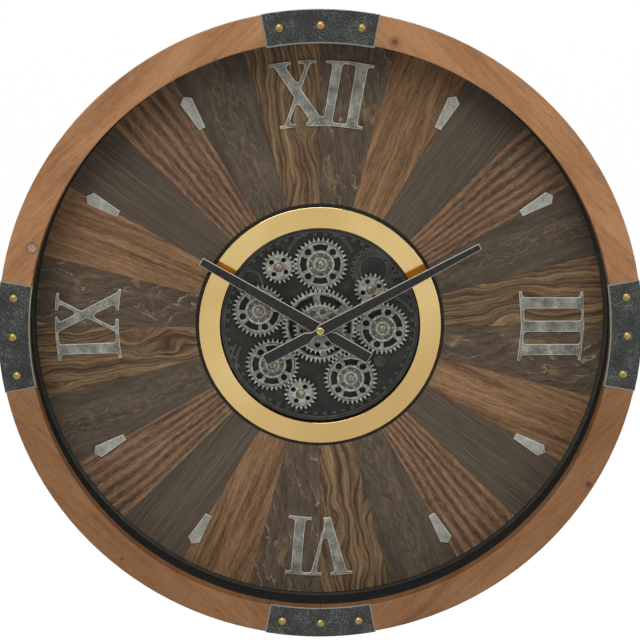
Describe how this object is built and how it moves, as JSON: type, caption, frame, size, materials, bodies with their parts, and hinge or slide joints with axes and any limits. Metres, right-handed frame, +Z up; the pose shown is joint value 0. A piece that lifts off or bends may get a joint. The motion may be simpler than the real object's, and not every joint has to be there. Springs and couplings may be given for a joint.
{
  "type": "wall clock",
  "caption": "Round wooden wall clock with a sunburst dial, metal straps and numerals, two hands and an open gear train turning in a recessed centre well.",
  "frame": {"origin": "point on the axis of the hands at the wall plane, which is the rear face of the case drum", "axes": "+Z up towards twelve, the dial faces -Y, +X towards three, +Y into the wall"},
  "size_m": [0.8016, 0.0886, 0.8016],
  "materials": {
    "rim_wood": "oiled",
    "dark_wood": "stained, brushed",
    "light_wood": "oiled",
    "case_black": "matt painted",
    "strap_iron": "mottled, worn edges",
    "numeral_metal": "brushed, worn",
    "ring_gold": "satin",
    "well_black": "matt",
    "backplate_metal": "antiqued",
    "gear_metal": "antique silver",
    "cap_copper": "satin copper tone",
    "hand_black": "satin, bright bevels",
    "brass": "satin",
    "steel": "satin",
    "black_plastic": "matt",
    "cell_shell": "gloss"
  },
  "bodies": {
    "case": {"wood_rim": "rim_wood", "case_drum": "case_black", "glue_blocks": "case_black", "hanger_plate": "steel", "straps": "strap_iron", "strap_nails": "brass", "dial_board": "case_black", "dark_wedges": "dark_wood", "light_wedges": "light_wood", "gear_well": "well_black", "bright_ring": "ring_gold", "numerals": "numeral_metal", "hour_markers": "numeral_metal", "gear_backplate": "backplate_metal", "axle_caps": "cap_copper", "quartz_movement": "black_plastic", "bush_nut": "brass", "movement_cell": "cell_shell", "gear_motor": "black_plastic", "battery_box": "black_plastic", "battery_cells": "cell_shell"},
    "minute_hand": {"minute_hand": "hand_black", "minute_shaft": "brass", "hub_nut": "brass"},
    "hour_hand": {"hour_hand": "hand_black", "hour_tube": "brass"},
    "centre_wheel": {"centre_wheel": "gear_metal", "centre_sleeve": "gear_metal", "upper_wheel": "gear_metal"},
    "wheel_top": {"wheel_top": "gear_metal"},
    "wheel_right": {"wheel_right": "gear_metal"},
    "wheel_lower_right": {"wheel_lower_right": "gear_metal", "drive_shaft": "steel", "drive_cap": "cap_copper"},
    "wheel_lower_left": {"wheel_lower_left": "gear_metal"},
    "wheel_left": {"wheel_left": "gear_metal"},
    "pinion_upper_left": {"pinion_upper_left": "gear_metal"},
    "pinion_bottom": {"pinion_bottom": "gear_metal"},
    "pinion_upper_right": {"pinion_upper_right": "gear_metal"},
    "setting_knob": {"setting_knob": "black_plastic"},
    "battery_door": {"battery_door": "black_plastic"},
    "power_switch": {"power_switch": "black_plastic"}
  },
  "joints": [
    {"name": "minute_hand_turn", "type": "hinge", "parent": "case", "child": "minute_hand", "pos_m": [0, 0, 0], "axis": [0, 1, 0], "continuous": true},
    {"name": "hour_hand_turn", "type": "hinge", "parent": "case", "child": "hour_hand", "pos_m": [0, 0, 0], "axis": [0, 1, 0], "continuous": true},
    {"name": "centre_wheel_turn", "type": "hinge", "parent": "case", "child": "centre_wheel", "pos_m": [0, 0, 0], "axis": [0, 1, 0], "continuous": true},
    {"name": "wheel_top_turn", "type": "hinge", "parent": "case", "child": "wheel_top", "pos_m": [0.00056, 0, 0.08], "axis": [0, 1, 0], "continuous": true},
    {"name": "wheel_right_turn", "type": "hinge", "parent": "case", "child": "wheel_right", "pos_m": [0.07992, 0, -0.00363], "axis": [0, 1, 0], "continuous": true},
    {"name": "wheel_lower_right_turn", "type": "hinge", "parent": "case", "child": "wheel_lower_right", "pos_m": [0.03952, 0, -0.06956], "axis": [0, 1, 0], "continuous": true},
    {"name": "wheel_lower_left_turn", "type": "hinge", "parent": "case", "child": "wheel_lower_left", "pos_m": [-0.06119, 0, -0.05153], "axis": [0, 1, 0], "continuous": true},
    {"name": "wheel_left_turn", "type": "hinge", "parent": "case", "child": "wheel_left", "pos_m": [-0.07759, 0, 0.01949], "axis": [0, 1, 0], "continuous": true},
    {"name": "pinion_upper_left_turn", "type": "hinge", "parent": "case", "child": "pinion_upper_left", "pos_m": [-0.05231, 0, 0.07621], "axis": [0, 1, 0], "continuous": true},
    {"name": "pinion_bottom_turn", "type": "hinge", "parent": "case", "child": "pinion_bottom", "pos_m": [-0.02498, 0, -0.09023], "axis": [0, 1, 0], "continuous": true},
    {"name": "pinion_upper_right_turn", "type": "hinge", "parent": "case", "child": "pinion_upper_right", "pos_m": [0.06486, 0, 0.04719], "axis": [0, 1, 0], "continuous": true},
    {"name": "setting_knob_turn", "type": "hinge", "parent": "case", "child": "setting_knob", "pos_m": [0, 0, 0.008], "axis": [0, 1, 0], "continuous": true},
    {"name": "battery_door_slide", "type": "slide", "parent": "case", "child": "battery_door", "axis": [1, 0, 0], "range_m": [0, 0.05]},
    {"name": "power_switch_slide", "type": "slide", "parent": "case", "child": "power_switch", "axis": [0, 0, 1], "range_m": [0, 0.004]}
  ],
  "couplings": [
    {"joint": "hour_hand_turn", "follows": "minute_hand_turn", "ratio": 0.083333},
    {"joint": "setting_knob_turn", "follows": "minute_hand_turn", "ratio": -1},
    {"joint": "wheel_top_turn", "follows": "centre_wheel_turn", "ratio": -1.4706},
    {"joint": "wheel_right_turn", "follows": "centre_wheel_turn", "ratio": -1.4706},
    {"joint": "wheel_lower_right_turn", "follows": "centre_wheel_turn", "ratio": -1.4706},
    {"joint": "wheel_lower_left_turn", "follows": "centre_wheel_turn", "ratio": -1.4706},
    {"joint": "wheel_left_turn", "follows": "centre_wheel_turn", "ratio": -1.4706},
    {"joint": "pinion_upper_left_turn", "follows": "centre_wheel_turn", "ratio": 2.5},
    {"joint": "pinion_bottom_turn", "follows": "centre_wheel_turn", "ratio": 2.5},
    {"joint": "pinion_upper_right_turn", "follows": "centre_wheel_turn", "ratio": 2.5}
  ]
}
